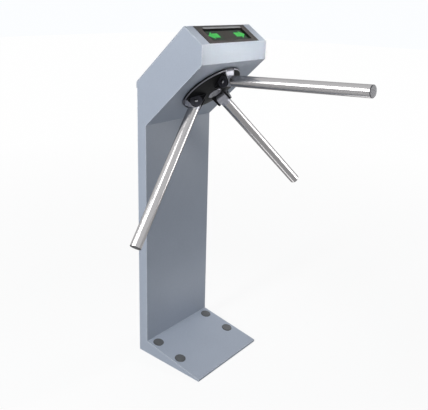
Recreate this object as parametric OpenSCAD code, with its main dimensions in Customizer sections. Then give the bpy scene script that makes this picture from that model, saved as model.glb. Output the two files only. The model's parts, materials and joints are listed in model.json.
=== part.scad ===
// Tripod turnstile on a slim sheet-metal stand.
// Row frame: origin on the floor at the centre of the four anchor holes,
// +X from the post towards the passage, +Y across the stand, +Z up.
// The hub axis stands square to the sloping underside of the head.

/* [Stand] */
// Overall height, to the top edge of the head
overall_h = 1050; // [900:10:1200]
// Width across the two side plates
stand_w = 290; // [280:2:320]
// Thickness of the post, front to back
post_t = 35; // [34:1:40]
// Depth of the base, from the back of the post to its front edge
base_d = 257; // [250:1:280]
// Height of the base wedge at the post
base_rear_h = 43; // [40:1:48]
// Height of the base wedge at its front edge
base_front_h = 7; // [7:0.5:9]
// Thickness of the welded sheet
sheet_t = 2; // [1.5:0.25:2]
// Thickness of the floor plate
floor_plate_t = 4.5; // [4:0.25:4.5]

/* [Anchors] */
// Distance from the front of the post to the first row of anchor holes
anchor_from_post = 26; // [24:1:30]
// Distance between the two rows of anchor holes
anchor_pitch_x = 96; // [90:1:100]
// Distance from each side of the stand to its anchor holes
anchor_edge = 26; // [24:1:34]
// Radius of each anchor hole in the floor plate
anchor_hole_r = 7; // [6:0.5:8]
// Radius of the access hole above each anchor
access_hole_r = 15; // [14:0.5:16]
// Width of the rim of each cap around its access hole
cap_rim = 2; // [1.5:0.5:3]
// Thickness of the rim of each cap
cap_t = 1.6; // [1.2:0.2:2.4]
// Radius of the cable entry in the floor plate
cable_hole_r = 10; // [8:1:12]

/* [Head] */
// Height of the head's front face
face_h = 52.6; // [50:0.2:60]
// Slope of the underside of the head
slope_angle = 42.5; // [41:0.5:43]
// Reach of the head, from the back of the post to its front face
head_reach = 245; // [242:1:250]
// Drop of the display's face, from its back edge to its front edge
top_drop = 45; // [43:1:48]
// Run of the display's face, from its back edge to its front edge
top_run = 65; // [62:1:68]
// Slope of the rear cover
back_angle = 42; // [41.5:0.5:43]
// Thickness of the rear cover
cover_t = 2.5; // [2:0.25:3]
// How far the rear cover's lip stands behind the post
cover_proud = 3.4; // [3.3:0.1:4]
// Height of the rear cover's lip
cover_lip_h = 19; // [15:1:25]
// Radius of the cover lock's barrel
lock_barrel_r = 9.5; // [8:0.5:11]

/* [Display] */
// Distance from each side of the head to the end of the bezel
bezel_side = 34; // [28:1:40]
// Margin between the bezel and the front and back edges of its face
bezel_margin = 3; // [2:0.5:5]
// Border of the bezel around its window
bezel_border = 9; // [7:1:12]
// Thickness of the bezel's flange on the sheet
bezel_flange_t = 1.2; // [0.8:0.2:2]
// Depth of the window below the bezel's top
window_depth = 4; // [3:0.5:5]
// Thickness of the smoked window
window_t = 3; // [2:0.5:3]
// Distance from each end of the window's opening to the middle of its arrow
arrow_end = 37; // [30:1:45]
// Length of each arrow
arrow_len = 38; // [34:1:42]

/* [Hub] */
// Distance of the hub axis up the slope from the post
hub_up_slope = 167; // [163:1:168]
// Radius of the hub's flange
hub_r = 96; // [94:1:98]
// Gap between the hub and the head
hub_gap = 1; // [0.8:0.1:1.5]
// Height of the hub's rim above the head
hub_rim_h = 9; // [8:0.5:9]
// Height of the hub's middle above the head
hub_crown_h = 22; // [20:0.5:24]
// Angle of the hub about its axis as the photograph shows it
hub_turn = 4.6; // [0:0.2:6]
// Distance of each arm's pivot from the hub axis
pivot_r = 66.5; // [66:0.5:68]
// Thickness of each ear of the forks
ear_t = 6; // [5:0.5:7]
// Radius of the rounded end of each ear
ear_r = 17; // [15:0.5:18]
// Radius of the pivot bolts
pivot_bolt_r = 4; // [3.5:0.5:5]

/* [Arms] */
// Outer radius of the arm tubes
arm_r = 16; // [15:0.5:16]
// Wall of the arm tubes
arm_wall = 1.5; // [1:0.25:2]
// Length of each arm from its pivot to its tip
arm_len = 448; // [400:4:500]
// Angle between each arm and the hub axis
arm_splay = 50.6; // [48:0.2:52]
// Distance from the pivot to the open end of the tube
arm_root_len = 20; // [18:1:26]
// Thickness of the rim of each end plug
plug_rim_t = 2.2; // [1.5:0.1:3]

/* [Mechanism] */
// Radius of the rotor shaft
shaft_r = 10; // [9:0.5:11]
// Thickness of the chassis plate
chassis_t = 6; // [5:0.5:7]
// Length of the spacers between the head and the chassis plate
spacer_len = 14; // [12:1:15]
// Outer radius of the shaft bearings
bearing_r = 23.5; // [22:0.5:24]
// Width of each shaft bearing
bearing_w = 14; // [12:1:15]
// Length of the bearing housing
bearing_house_len = 34; // [32:1:36]
// Radius of the signal cam in its valleys
cam_valley_r = 26; // [25:0.5:27]
// Lift of the signal cam's lobes
cam_lift = 8; // [6:0.5:8]
// Thickness of the signal cam
cam_t = 6; // [5:0.5:8]
// Throw of the centring crank
crank_throw = 9; // [8.5:0.25:9]
// Distance from the centring crank to its spring's post
spring_reach = 54; // [50:1:60]
// Teeth on the gear wheel
gear_teeth = 42; // [36:6:42]
// Teeth on the damper's pinion
pinion_teeth = 14; // [12:1:16]
// Gear module, pitch diameter for each tooth
gear_module = 2; // [1.8:0.1:2]
// Thickness of the gear wheel
gear_t = 6; // [5:0.5:7]
// Radius of the damper's body
damper_r = 18; // [15:1:19]

/* [Locking] */
// Distance of the lock pins inward from the roots of the gear's teeth
pin_inset = 4.5; // [4:0.5:6]
// Radius of each lock pin
pin_r = 5; // [4:0.5:5]
// Swing of each pawl from free to locking
pawl_swing = 10; // [8:0.5:10]
// Thickness of the pawls
pawl_t = 8; // [6:0.5:9]
// Width of each pawl's nose
pawl_nose_w = 7; // [6:0.5:8]
// Radius of each solenoid's plunger
plunger_r = 5; // [4:0.5:5]
// Width and height of each solenoid
solenoid_w = 28; // [26:1:30]
// Length of each solenoid
solenoid_len = 34; // [32:1:38]

/* [Hidden] */

$fn = 64;
// Overrun of cuts past the faces they open
cut = 1;
// Running clearance of a shaft in its hole
run_fit = 0.05;
// Clearance of a piece that is pushed or screwed into its place
seat_fit = 0.1;
// Gap between sheets and plates that lie on each other
seat_gap = 0.3;
// Gap between parts that move past each other
move_gap = 0.5;

// Colours of the finishes
paint_colour = [0.66, 0.69, 0.74];
casting_colour = [0.07, 0.07, 0.08];
steel_colour = [0.78, 0.77, 0.76];
zinc_colour = [0.7, 0.71, 0.68];
cap_colour = [0.3, 0.31, 0.31];
bezel_colour = [0.2, 0.19, 0.18];
lens_colour = [0.15, 0.85, 0.25];
board_colour = [0.05, 0.3, 0.15];
copper_colour = [0.65, 0.4, 0.2];
brass_colour = [0.75, 0.62, 0.3];

// Stand and head, worked out in the plane of the side plates,
// measured from the back of the post
function cross_of(a, b) = a[0] * b[1] - a[1] * b[0];
function meet(p, d, q, e) = p + d * (cross_of(q - p, e) / cross_of(d, e));
function unit(v) = v / norm(v);
function left_of(d) = [-d[1], d[0]];
// Mitred inset of a closed outline that runs anticlockwise
function inset(p, t) = let (n = len(p)) [for (i = [0 : n - 1]) let (
    a = p[(i + n - 1) % n],
    b = p[i],
    c = p[(i + 1) % n],
    d = unit(b - a),
    e = unit(c - b))
    meet(b + left_of(d) * t, d, b + left_of(e) * t, e)];

post_back_x = -(post_t + anchor_from_post + anchor_pitch_x / 2);
anchor_pitch_y = stand_w - 2 * anchor_edge;
top_back = [head_reach - top_run, overall_h];
top_front = [head_reach, overall_h - top_drop];
slope_high = [head_reach, top_front[1] - face_h];
slope_low = [post_t, slope_high[1] - (head_reach - post_t) * tan(slope_angle)];
top_dir = unit(top_front - top_back);
top_len = norm(top_front - top_back);
top_tilt = atan2(-top_dir[1], top_dir[0]);
back_dir = [cos(back_angle), sin(back_angle)];
back_out = left_of(back_dir);
cover_seat = cover_t + seat_gap;
back_len = (top_back[0] + cover_proud) / cos(back_angle);
lip_corner = top_back - back_dir * back_len;
shell_top_back = meet(top_back - back_out * cover_seat, back_dir, top_back, top_dir);
shell_post_back = meet(top_back - back_out * cover_seat, back_dir, [0, 0], [0, 1]);
shell_outline = [[0, 0], [base_d, 0], [base_d, base_front_h], [post_t, base_rear_h],
    slope_low, slope_high, top_front, shell_top_back, shell_post_back];
shell_inner = inset(shell_outline, sheet_t);
base_tilt = atan2(base_rear_h - base_front_h, base_d - post_t);

// Rear cover, its opening and its lock
cover_flange_w = 15;
cover_side_return = 8;
lock_up = 32;
lock_head_rim = 2;
lock_head_t = 2;
lock_len = 24;
lock_tongue_w = 12;
lock_tongue_t = 2.5;
lock_tongue_reach = 24;
key_slot_l = 9;
key_slot_w = 2;
key_slot_d = 1.2;

// Display
bezel_w = stand_w - 2 * bezel_side;
bezel_len = top_len - 2 * bezel_margin;
arrow_pitch = bezel_w - 2 * bezel_border - 2 * arrow_end;
bezel_flange_w = 3;
bezel_depth = 14;
bezel_wall = 2;
board_t = 1.6;
board_gap = 2;
arrow_h = 28;
arrow_head_share = 0.5;
arrow_shaft_share = 0.5;
lens_t = 1.5;
led_r = 2.5;
led_h = 2;
led_pitch = 9;

// Base
cap_stem_wall = 2;
cap_stem_len = 8;
cap_dome = 0.8;
plate_margin = sheet_t + seat_gap;

// Hub, in the hub frame: X down the slope, Y across, Z out of the head
axis_x = post_back_x + slope_low[0] + hub_up_slope * cos(slope_angle);
axis_z = slope_low[1] + hub_up_slope * sin(slope_angle);
arm_azimuths = [180, -60, 60];
apex_depth = 29.3;
pivot_h = pivot_r / tan(arm_splay) - apex_depth;
fork_gap = 2 * arm_r + 2 * move_gap;
ear_out = fork_gap / 2 + ear_t;
boss_r = 26;
boss_bore_r = shaft_r + seat_fit;
boss_len = 8;
hub_hole_gap = 3;
hub_edge = 1.5;
hub_chamfer = 3;
crown_r = 30;
recess_r = 20;
recess_d = 8;
knuckle_r = arm_r;
fork_floor = pivot_h - knuckle_r - seat_gap;
fork_floor_in = pivot_r - knuckle_r - 2 * move_gap;
heel_web = 3;
heel_seat = hub_gap + heel_web;
ear_reach = 22;
ear_root = 4;
ear_foot_z = hub_gap + ear_root;
bolt_sink = 2.2;
bolt_seat = ear_out - bolt_sink;
bolt_head_r = 5.5;
bolt_head_t = 3;
nut_r = 7;
nut_t = 3;
nut_slot_w = 1.6;
nut_slot_d = 1.2;
recess_cross_l = 6;
recess_cross_w = 1.4;
recess_cross_d = 1.5;
hub_bolt_r = 5;
hub_bolt_head_r = 8;
hub_bolt_head_t = 5;
hub_bolt_len = 22;
washer_t = 2;
hub_cap_rim = 1.5;
hub_cap_t = 2;
hub_cap_dome = 4;
hub_cap_stem_len = 4;
hub_cap_wall = 2;

// Arm roots, tubes and plugs
spigot_len = 40;
spigot_r = arm_r - arm_wall - seat_fit;
heel_out = 24.5;
heel_top = 6;
heel_rise = 16;
cheek_w = 2 * arm_r;
stem_len = 15;
plug_edge = 1;

// Mechanism, in the hub frame
chassis_front = -(sheet_t + spacer_len);
chassis_rear = chassis_front - chassis_t;
house_end = chassis_rear - bearing_house_len;
bearing_inset = 2;
front_bearing_top = chassis_rear - bearing_inset;
rear_bearing_top = house_end + bearing_w;
bearing_ring = 4;
bearing_shield = 1;
house_wall = 5.5;
house_r = bearing_r + house_wall;
house_flange_w = 6;
house_flange_t = 8;
house_screw_r = 2;
house_screw_ring = house_r + house_flange_w / 2;
house_screws = 3;
house_screw_turn = 20;
screw_head_r = 3;
screw_head_t = 2.5;
shaft_collar_w = 3;
shaft_collar_r = shaft_r + shaft_collar_w;
shaft_collar_t = 8;
chassis_hole_gap = 3;
ring_gap = 0.6;
ring_t = 1.5;
ring_depth = 1;
ring_w = 3.5;
ring_opening = 6;
cam_top = house_end - 2 * ring_gap - ring_t;
cam_end = cam_top - cam_t;
gear_top = cam_end - 2 * ring_gap - ring_gap;
gear_end = gear_top - gear_t;
gear_pitch_r = gear_module * gear_teeth / 2;
pinion_pitch_r = gear_module * pinion_teeth / 2;
gear_space = gear_pitch_r + pinion_pitch_r;
gear_pressure = 20;
gear_backlash = 0.2;
addendum_share = 1;
dedendum_share = 1.25;
flank_steps = 3;
pin_pitch_r = gear_pitch_r - gear_module * dedendum_share - pin_inset;
web_hole_r = 6;
web_hole_ring = 24;
web_holes = 6;
web_hole_turn = 30;
shaft_nut_r = 16;
shaft_nut_t = 8;
shaft_tail = 2;
cam_steps = 72;
gear_hub_wall = 5;
damper_azimuth = -90;
damper_len = 30;
damper_neck_r = 8;
damper_neck_len = 5;
damper_shaft_r = 4;
pinion_overlap = 0.5;
pinion_end = gear_end + seat_gap;
pinion_top = gear_top + pinion_overlap;
chassis_up = 119;
chassis_down = 112;
chassis_side = 17;
chassis_half_w = stand_w / 2 - chassis_side;
spacer_r = 8;
spacer_bolt_r = 4;
spacer_inset = 11;
bolt_hex_r = 7;
bolt_hex_t = 5;

// Centring crank: one turn for each arm, and its spring is shortest when an arm is home
crank_azimuth = 90;
crank_teeth = gear_teeth / len(arm_azimuths);
crank_space = gear_pitch_r + gear_module * crank_teeth / 2;
crank_bore_r = 3.5;
crank_clip_r = 5.5;
crank_pin_r = 2.5;
crank_pin_len = 12;
post_r = 9;
clip_r = 7.5;
clip_t = 1.5;
spring_azimuth = 45;
spring_post_r = 5;
spring_r = 4.5;
spring_wire_r = 0.7;
spring_turns = 12;
spring_steps = 10;
spring_sides = 6;

// Pawls: drawn locking, then swung back to where they rest
pawl_top = gear_end - 2 * move_gap;
pawl_end = pawl_top - pawl_t;
pawl_post_up = 66;
pawl_post_side = 60;
pawl_post_at = [-pawl_post_up, pawl_post_side];
pawl_boss_r = 11;
pawl_pin_r = 5;
pawl_nose_bite = 2;
pawl_nose_reach = 16;
pawl_nose_gap = 0.8;
pawl_nose_in = pin_pitch_r - pawl_nose_bite;
pawl_nose_out = pin_pitch_r + pawl_nose_reach;
pawl_nose_side = pin_r + pawl_nose_gap;
pawl_face_r = norm(pawl_post_at + [pin_pitch_r, 0]) - pin_r - pawl_nose_gap;
pawl_arm_w = 10;
pawl_tail_len = 22;
pawl_tail_w = 12;
pawl_tail_over = 5;
link_pin_r = 2.5;
link_slot_fit = 0.3;
plunger_axis = pawl_top + move_gap + plunger_r;
plunger_in = 6;
plunger_out = 44;
plunger_fit = 0.3;
solenoid_in = 14;
solenoid_frame_t = 3;
coil_inset = 1.5;
bracket_t = 2;
bracket_inset = 2;
bracket_foot = 20;
lock_pin_over = 1;
lock_pin_len = pawl_t + 2 * move_gap + lock_pin_over;
lock_pin_stub_r = 2.5;

// Position sensors, beside the signal cam
sensor_azimuths = [118, -118];
sensor_r = 4;
sensor_gap = 1;
sensor_len = 26;
sensor_block = 14;
sensor_block_off = 10;

// Control board, on the slope below the chassis
control_gap = 5;
control_from = chassis_down + control_gap;
control_l = 36;
control_w = 150;
standoff_len = 8;
standoff_r = 3;
standoff_inset = 5;
terminal_h = 10;
terminal_w = 60;
terminal_l = 10;
chip_h = 3;
chip_w = 16;

// Places in the row frame that the modules below work from
module at_post_back() {
    translate([post_back_x, 0, 0]) children();
}

// An outline in the plane of the side plates, as a sheet of the given width
module across(width) {
    translate([post_back_x, width / 2, 0]) rotate([90, 0, 0]) linear_extrude(width) children();
}

// Hub frame: X down the slope, Z square to the slope and out of the head
module at_hub() {
    translate([axis_x, 0, axis_z]) rotate([0, 180 - slope_angle, 0]) children();
}

// Fork frame of one arm: X away from the hub axis, Z along it
module at_fork(i) {
    at_hub() rotate([0, 0, arm_azimuths[i] + hub_turn]) children();
}

// Arm frame: origin at the pivot, Z along the arm
module at_arm(i) {
    at_fork(i) translate([pivot_r, 0, pivot_h]) rotate([0, arm_splay, 0]) children();
}

// Face of the display: X from its back edge towards its front edge, Z out
module at_display() {
    at_post_back() translate([top_back[0], 0, top_back[1]]) rotate([0, top_tilt, 0]) children();
}

// Outer face of the rear cover: X up the slope, origin at the lip's corner
module at_cover() {
    at_post_back() translate([lip_corner[0], 0, lip_corner[1]]) rotate([0, -back_angle, 0]) children();
}

// Top of the base wedge: origin where it meets the post, X towards its front edge
module at_wedge() {
    at_post_back() translate([post_t, 0, base_rear_h]) rotate([0, base_tilt, 0]) children();
}

// A round bar between two depths in the hub frame
module bar(r, from, to) {
    translate([0, 0, min(from, to)]) cylinder(r = r, h = abs(from - to));
}

module hex_bar(r, from, to) {
    translate([0, 0, min(from, to)]) cylinder(r = r, h = abs(from - to), $fn = 6);
}

// A box that is centred across and lengthwise, between two depths
module slab(l, w, from, to) {
    translate([-l / 2, -w / 2, min(from, to)]) cube([l, w, abs(from - to)]);
}

// Stand and head, one welded shell of sheet
module housing() {
    color(paint_colour) difference() {
        across(stand_w) polygon(shell_outline);
        across(stand_w - 2 * sheet_t) polygon(shell_inner);
        // the floor plate closes the base from below
        at_post_back() translate([sheet_t, -stand_w / 2 + sheet_t, -cut])
            cube([base_d - 2 * sheet_t, stand_w - 2 * sheet_t, sheet_t + 2 * cut]);
        at_anchor_access() translate([0, 0, -base_rear_h / 2])
            cylinder(r = access_hole_r, h = base_rear_h);
        at_hub() bar(boss_r + hub_hole_gap, -sheet_t - cut, cut);
        cover_opening();
        at_display() translate([top_len / 2, 0, 0])
            slab(bezel_len - 2 * bezel_flange_w, bezel_w - 2 * bezel_flange_w, -sheet_t - cut, cut);
    }
}

// The four access holes lie on the wedge, right above the anchor holes
module at_anchor_access() {
    for (i = [0, 1]) for (s = [-1, 1]) at_wedge()
        translate([(anchor_from_post + i * anchor_pitch_x) / cos(base_tilt), s * anchor_pitch_y / 2, 0])
            children();
}

module cover_opening() {
    l = back_len - 2 * cover_flange_w;
    at_cover() translate([cover_flange_w + l / 2, 0, 0])
        slab(l, stand_w - 2 * sheet_t - 2 * cover_flange_w, -cover_seat - sheet_t - cut, cut);
}

module floor_plate() {
    color(zinc_colour) difference() {
        at_post_back() translate([plate_margin, -stand_w / 2 + plate_margin, 0])
            cube([base_d - 2 * plate_margin, stand_w - 2 * plate_margin, floor_plate_t]);
        for (i = [-1, 1]) for (s = [-1, 1])
            translate([i * anchor_pitch_x / 2, s * anchor_pitch_y / 2, -cut])
                cylinder(r = anchor_hole_r, h = floor_plate_t + 2 * cut);
        at_post_back() translate([post_t / 2, 0, -cut])
            cylinder(r = cable_hole_r, h = floor_plate_t + 2 * cut);
    }
}

// Push-in caps over the anchor bolts
module bolt_caps() {
    r = access_hole_r + cap_rim;
    stem = access_hole_r - seat_fit;
    color(cap_colour) at_anchor_access() rotate_extrude() polygon([
        [0, 0],
        [stem - cap_stem_wall, 0],
        [stem - cap_stem_wall, -cap_stem_len],
        [stem, -cap_stem_len],
        [stem, 0],
        [r, 0],
        [r, cap_t / 2],
        [r - cap_t / 2, cap_t],
        [r / 2, cap_t + cap_dome / 2],
        [0, cap_t + cap_dome / 2]]);
}

// Rear cover: a folded plate with a lip over the back of the post
module rear_cover() {
    back_line = top_back - back_out * cover_t;
    outline = [top_back, lip_corner,
        [-cover_proud, lip_corner[1] - cover_lip_h],
        [-cover_proud + cover_t, lip_corner[1] - cover_lip_h],
        meet(back_line, back_dir, [-cover_proud + cover_t, 0], [0, 1]),
        meet(back_line, back_dir, top_back, top_dir)];
    l = back_len - 2 * cover_flange_w - 2 * move_gap;
    w = stand_w - 2 * sheet_t - 2 * cover_flange_w - 2 * move_gap;
    color(paint_colour) difference() {
        union() {
            across(stand_w) polygon(outline);
            for (s = [-1, 1]) at_cover()
                translate([cover_flange_w + move_gap, s * (w - cover_t) / 2 - cover_t / 2,
                    -cover_t - cover_side_return])
                    cube([l, cover_t, cover_side_return + cover_t / 2]);
        }
        at_cover() translate([lock_up, 0, 0]) bar(lock_barrel_r + seat_fit, -cover_t - cut, cut);
    }
}

// Cam lock of the rear cover: barrel, collar and tongue
module cover_lock() {
    color(steel_colour) at_cover() translate([lock_up, 0, 0]) difference() {
        union() {
            bar(lock_barrel_r, -lock_len, 0);
            bar(lock_barrel_r + lock_head_rim, 0, lock_head_t);
            translate([-lock_tongue_reach, -lock_tongue_w / 2, -cover_seat - sheet_t - lock_tongue_t - move_gap])
                cube([lock_tongue_reach, lock_tongue_w, lock_tongue_t]);
        }
        slab(key_slot_l, key_slot_w, lock_head_t - key_slot_d, lock_head_t + cut);
    }
}

// Display bezel: a flange on the sheet and a tray below it
module display_bezel() {
    tray_l = bezel_len - 2 * bezel_flange_w - 2 * seat_gap;
    tray_w = bezel_w - 2 * bezel_flange_w - 2 * seat_gap;
    color(bezel_colour) at_display() translate([top_len / 2, 0, 0]) difference() {
        union() {
            slab(bezel_len, bezel_w, 0, bezel_flange_t);
            slab(tray_l, tray_w, -bezel_depth, 0);
        }
        slab(bezel_len - 2 * bezel_border, bezel_w - 2 * bezel_border,
            bezel_flange_t - window_depth, bezel_flange_t + cut);
        slab(window_l() + 2 * seat_fit, window_w() + 2 * seat_fit,
            bezel_flange_t - window_depth - window_t - seat_fit, bezel_flange_t - window_depth);
        slab(bezel_len - 2 * bezel_border, bezel_w - 2 * bezel_border,
            -bezel_depth - cut, bezel_flange_t - window_depth - window_t);
        slab(tray_l - 2 * bezel_wall, tray_w - 2 * bezel_wall,
            -bezel_depth - cut, board_top());
    }
}

function window_l() = bezel_len - 2 * bezel_border + 2 * bezel_wall;
function window_w() = bezel_w - 2 * bezel_border + 2 * bezel_wall;
function window_end() = bezel_flange_t - window_depth - window_t;
function board_top() = window_end() - lens_t - led_h - board_gap;

module display_window() {
    color(bezel_colour) at_display() translate([top_len / 2, 0, 0])
        slab(window_l(), window_w(), window_end(), window_end() + window_t);
}

// A direction arrow that points along +Y
module arrow_shape() {
    half = arrow_h / 2;
    shaft = half * arrow_shaft_share;
    neck = arrow_len * (arrow_head_share - 1 / 2);
    polygon([[0, arrow_len / 2], [-half, -neck], [-shaft, -neck], [-shaft, -arrow_len / 2],
        [shaft, -arrow_len / 2], [shaft, -neck], [half, -neck]]);
}

module arrow_lenses() {
    color(lens_colour) for (s = [-1, 1]) at_display()
        translate([top_len / 2, s * arrow_pitch / 2, window_end() - lens_t - seat_fit])
            rotate([0, 0, s > 0 ? 0 : 180]) linear_extrude(lens_t) arrow_shape();
}

module indicator_board() {
    l = bezel_len - 2 * bezel_flange_w - 2 * seat_gap - 2 * bezel_wall - 2 * seat_gap;
    w = bezel_w - 2 * bezel_flange_w - 2 * seat_gap - 2 * bezel_wall - 2 * seat_gap;
    color(board_colour) at_display() translate([top_len / 2, 0, 0]) {
        slab(l, w, board_top() - board_t - seat_fit, board_top() - seat_fit);
        for (s = [-1, 1]) for (i = [-1, 0, 1]) for (j = [-1, 0, 1])
            translate([i * led_pitch, s * arrow_pitch / 2 + j * led_pitch, board_top() - board_t / 2])
                cylinder(r = led_r, h = led_h + board_t / 2);
    }
}

// Hub: a flanged casting with three forks
module hub() {
    color(casting_colour) at_hub() rotate([0, 0, hub_turn]) difference() {
        union() {
            difference() {
                rotate_extrude($fn = 128) polygon(hub_profile());
                for (i = arm_azimuths) rotate([0, 0, i]) {
                    translate([fork_floor_in, -fork_gap / 2, fork_floor])
                        cube([hub_r, fork_gap, hub_crown_h]);
                    // the heel's slot, open at the rim
                    translate([pivot_r - move_gap, -fork_gap / 2, heel_seat])
                        cube([hub_r, fork_gap, hub_crown_h]);
                }
            }
            for (i = arm_azimuths) rotate([0, 0, i]) for (s = [-1, 1])
                translate([0, s * (fork_gap + ear_t) / 2 + ear_t / 2, 0])
                    rotate([90, 0, 0]) linear_extrude(ear_t) ear_shape();
        }
        for (i = arm_azimuths) rotate([0, 0, i])
            translate([pivot_r, 0, pivot_h]) rotate([90, 0, 0]) {
                bar(pivot_bolt_r + run_fit, -ear_out - cut, ear_out + cut);
                bar(bolt_head_r + seat_fit, bolt_seat, ear_out + cut);
                bar(nut_r + seat_fit, -ear_out - cut, -bolt_seat);
            }
    }
}

function hub_profile() = [
    [boss_bore_r, -boss_len],
    [boss_r, -boss_len],
    [boss_r, hub_gap],
    [hub_r - hub_edge, hub_gap],
    [hub_r, hub_gap + hub_edge],
    [hub_r, hub_rim_h - hub_chamfer],
    [hub_r - hub_chamfer, hub_rim_h],
    [crown_r, hub_crown_h],
    [recess_r, hub_crown_h],
    [recess_r, hub_crown_h - recess_d],
    [boss_bore_r, hub_crown_h - recess_d]];

// Point where a straight flank from p touches the ear's round end
function touch(p, side) = let (
    c = [pivot_r, pivot_h],
    d = norm(c - p),
    a = atan2(c[1] - p[1], c[0] - p[0]),
    b = asin(ear_r / d),
    l = sqrt(d * d - ear_r * ear_r))
    p + l * [cos(a + side * b), sin(a + side * b)];

// Each ear is the round end of a rib that runs out from the crown
module ear_shape() {
    inner = [crown_r, hub_crown_h];
    outer = [pivot_r + ear_reach, ear_foot_z];
    translate([pivot_r, pivot_h]) circle(r = ear_r);
    polygon([[crown_r, ear_foot_z], outer, touch(outer, -1), [pivot_r, pivot_h], touch(inner, 1), inner]);
}

module hub_cap() {
    stem = recess_r - seat_fit;
    rim = recess_r + hub_cap_rim;
    color(casting_colour) at_hub() translate([0, 0, hub_crown_h]) rotate_extrude() polygon([
        [0, 0],
        [stem - hub_cap_wall, 0],
        [stem - hub_cap_wall, -hub_cap_stem_len],
        [stem, -hub_cap_stem_len],
        [stem, 0],
        [rim, 0],
        [rim, hub_cap_t / 2],
        [rim - hub_cap_t / 2, hub_cap_t],
        [recess_r / 2, hub_cap_t + hub_cap_dome / 2],
        [0, hub_cap_t + hub_cap_dome / 2]]);
}

// Bolt and washer that hold the hub on the shaft
module hub_bolt() {
    seat = hub_crown_h - recess_d;
    color(zinc_colour) at_hub() {
        bar(hub_bolt_r, seat + washer_t - hub_bolt_len, seat + washer_t);
        difference() {
            bar(recess_r - 2 * move_gap, seat, seat + washer_t);
            bar(hub_bolt_r / 2, seat - cut, seat + washer_t / 2);
        }
        hex_bar(hub_bolt_head_r, seat + washer_t, seat + washer_t + hub_bolt_head_t);
    }
}

// Pivot bolts, their heads sunk in one ear of each fork
module pivot_bolts() {
    color(zinc_colour) for (i = [0 : 2]) at_fork(i) translate([pivot_r, 0, pivot_h])
        rotate([90, 0, 0]) difference() {
            union() {
                bar(pivot_bolt_r, -bolt_seat - nut_t + nut_slot_d, bolt_seat);
                bar(bolt_head_r, bolt_seat, bolt_seat + bolt_head_t);
            }
            for (a = [0, 90]) rotate([0, 0, a])
                slab(recess_cross_l, recess_cross_w,
                    bolt_seat + bolt_head_t - recess_cross_d, bolt_seat + bolt_head_t + cut);
        }
}

// Round slotted nuts, sunk in the other ear
module pivot_nuts() {
    color(zinc_colour) for (i = [0 : 2]) at_fork(i) translate([pivot_r, 0, pivot_h])
        rotate([90, 0, 0]) difference() {
            bar(nut_r, -bolt_seat - nut_t, -bolt_seat);
            bar(pivot_bolt_r + run_fit, -bolt_seat - nut_t - cut, -bolt_seat + cut);
            slab(2 * nut_r + cut, nut_slot_w, -bolt_seat - nut_t - cut, -bolt_seat - nut_t + nut_slot_d);
        }
}

// Arm root: cheeks around the pivot, a spigot for the tube and a heel that rests on the hub
module knuckle(i) {
    heel_floor = heel_seat + seat_gap;
    color(steel_colour) difference() {
        union() {
            at_fork(i) translate([pivot_r, 0, pivot_h]) rotate([90, 0, 0])
                bar(knuckle_r, -cheek_w / 2, cheek_w / 2);
            at_arm(i) bar(arm_r, 0, arm_root_len);
            at_arm(i) bar(spigot_r, 0, arm_root_len + spigot_len);
            at_fork(i) translate([0, cheek_w / 2, 0]) rotate([90, 0, 0]) linear_extrude(cheek_w)
                polygon([[pivot_r, heel_floor], [pivot_r + heel_out, heel_floor],
                    [pivot_r + heel_out, heel_floor + heel_top],
                    [pivot_r + heel_out - heel_rise / 2, heel_floor + heel_rise],
                    [pivot_r, pivot_h]]);
        }
        at_fork(i) translate([pivot_r, 0, pivot_h]) rotate([90, 0, 0])
            bar(pivot_bolt_r + run_fit, -cheek_w / 2 - cut, cheek_w / 2 + cut);
    }
}

module arm_tube(i) {
    color(steel_colour) at_arm(i) difference() {
        bar(arm_r, arm_root_len, arm_len - plug_rim_t);
        bar(arm_r - arm_wall, arm_root_len - cut, arm_len - plug_rim_t + cut);
    }
}

module arm_plug(i) {
    stem = arm_r - arm_wall - seat_fit;
    rim_start = arm_len - plug_rim_t;
    color(cap_colour) at_arm(i) rotate_extrude() polygon([
        [0, rim_start - stem_len],
        [stem - plug_edge, rim_start - stem_len],
        [stem, rim_start - stem_len + plug_edge],
        [stem, rim_start],
        [arm_r, rim_start],
        [arm_r, arm_len - plug_edge],
        [arm_r - plug_edge, arm_len],
        [0, arm_len]]);
}

// Shaft, with a collar in front of the bearings and a groove behind them
module rotor_shaft() {
    front = hub_crown_h - recess_d - seat_gap;
    tail = gear_end - shaft_nut_t - shaft_tail;
    groove = house_end - ring_gap;
    color(steel_colour) at_hub() difference() {
        union() {
            bar(shaft_r, tail, front);
            bar(shaft_collar_r, front_bearing_top + seat_gap, front_bearing_top + seat_gap + shaft_collar_t);
        }
        difference() {
            bar(shaft_r + cut, groove - ring_t, groove);
            bar(shaft_r - ring_depth, groove - ring_t, groove);
        }
        bar(hub_bolt_r + seat_fit, hub_crown_h - recess_d + washer_t - hub_bolt_len - cut, front + cut);
    }
}

// A sealed ball bearing, with its shields set back between the two rings
module bearing(top) {
    bore = shaft_r + run_fit;
    mid_in = bore + bearing_ring;
    mid_out = bearing_r - bearing_ring;
    color(steel_colour) at_hub() translate([0, 0, top - bearing_w]) rotate_extrude() polygon([
        [bore, 0],
        [mid_in, 0],
        [mid_in, bearing_shield],
        [mid_out, bearing_shield],
        [mid_out, 0],
        [bearing_r, 0],
        [bearing_r, bearing_w],
        [mid_out, bearing_w],
        [mid_out, bearing_w - bearing_shield],
        [mid_in, bearing_w - bearing_shield],
        [mid_in, bearing_w],
        [bore, bearing_w]]);
}

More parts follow.
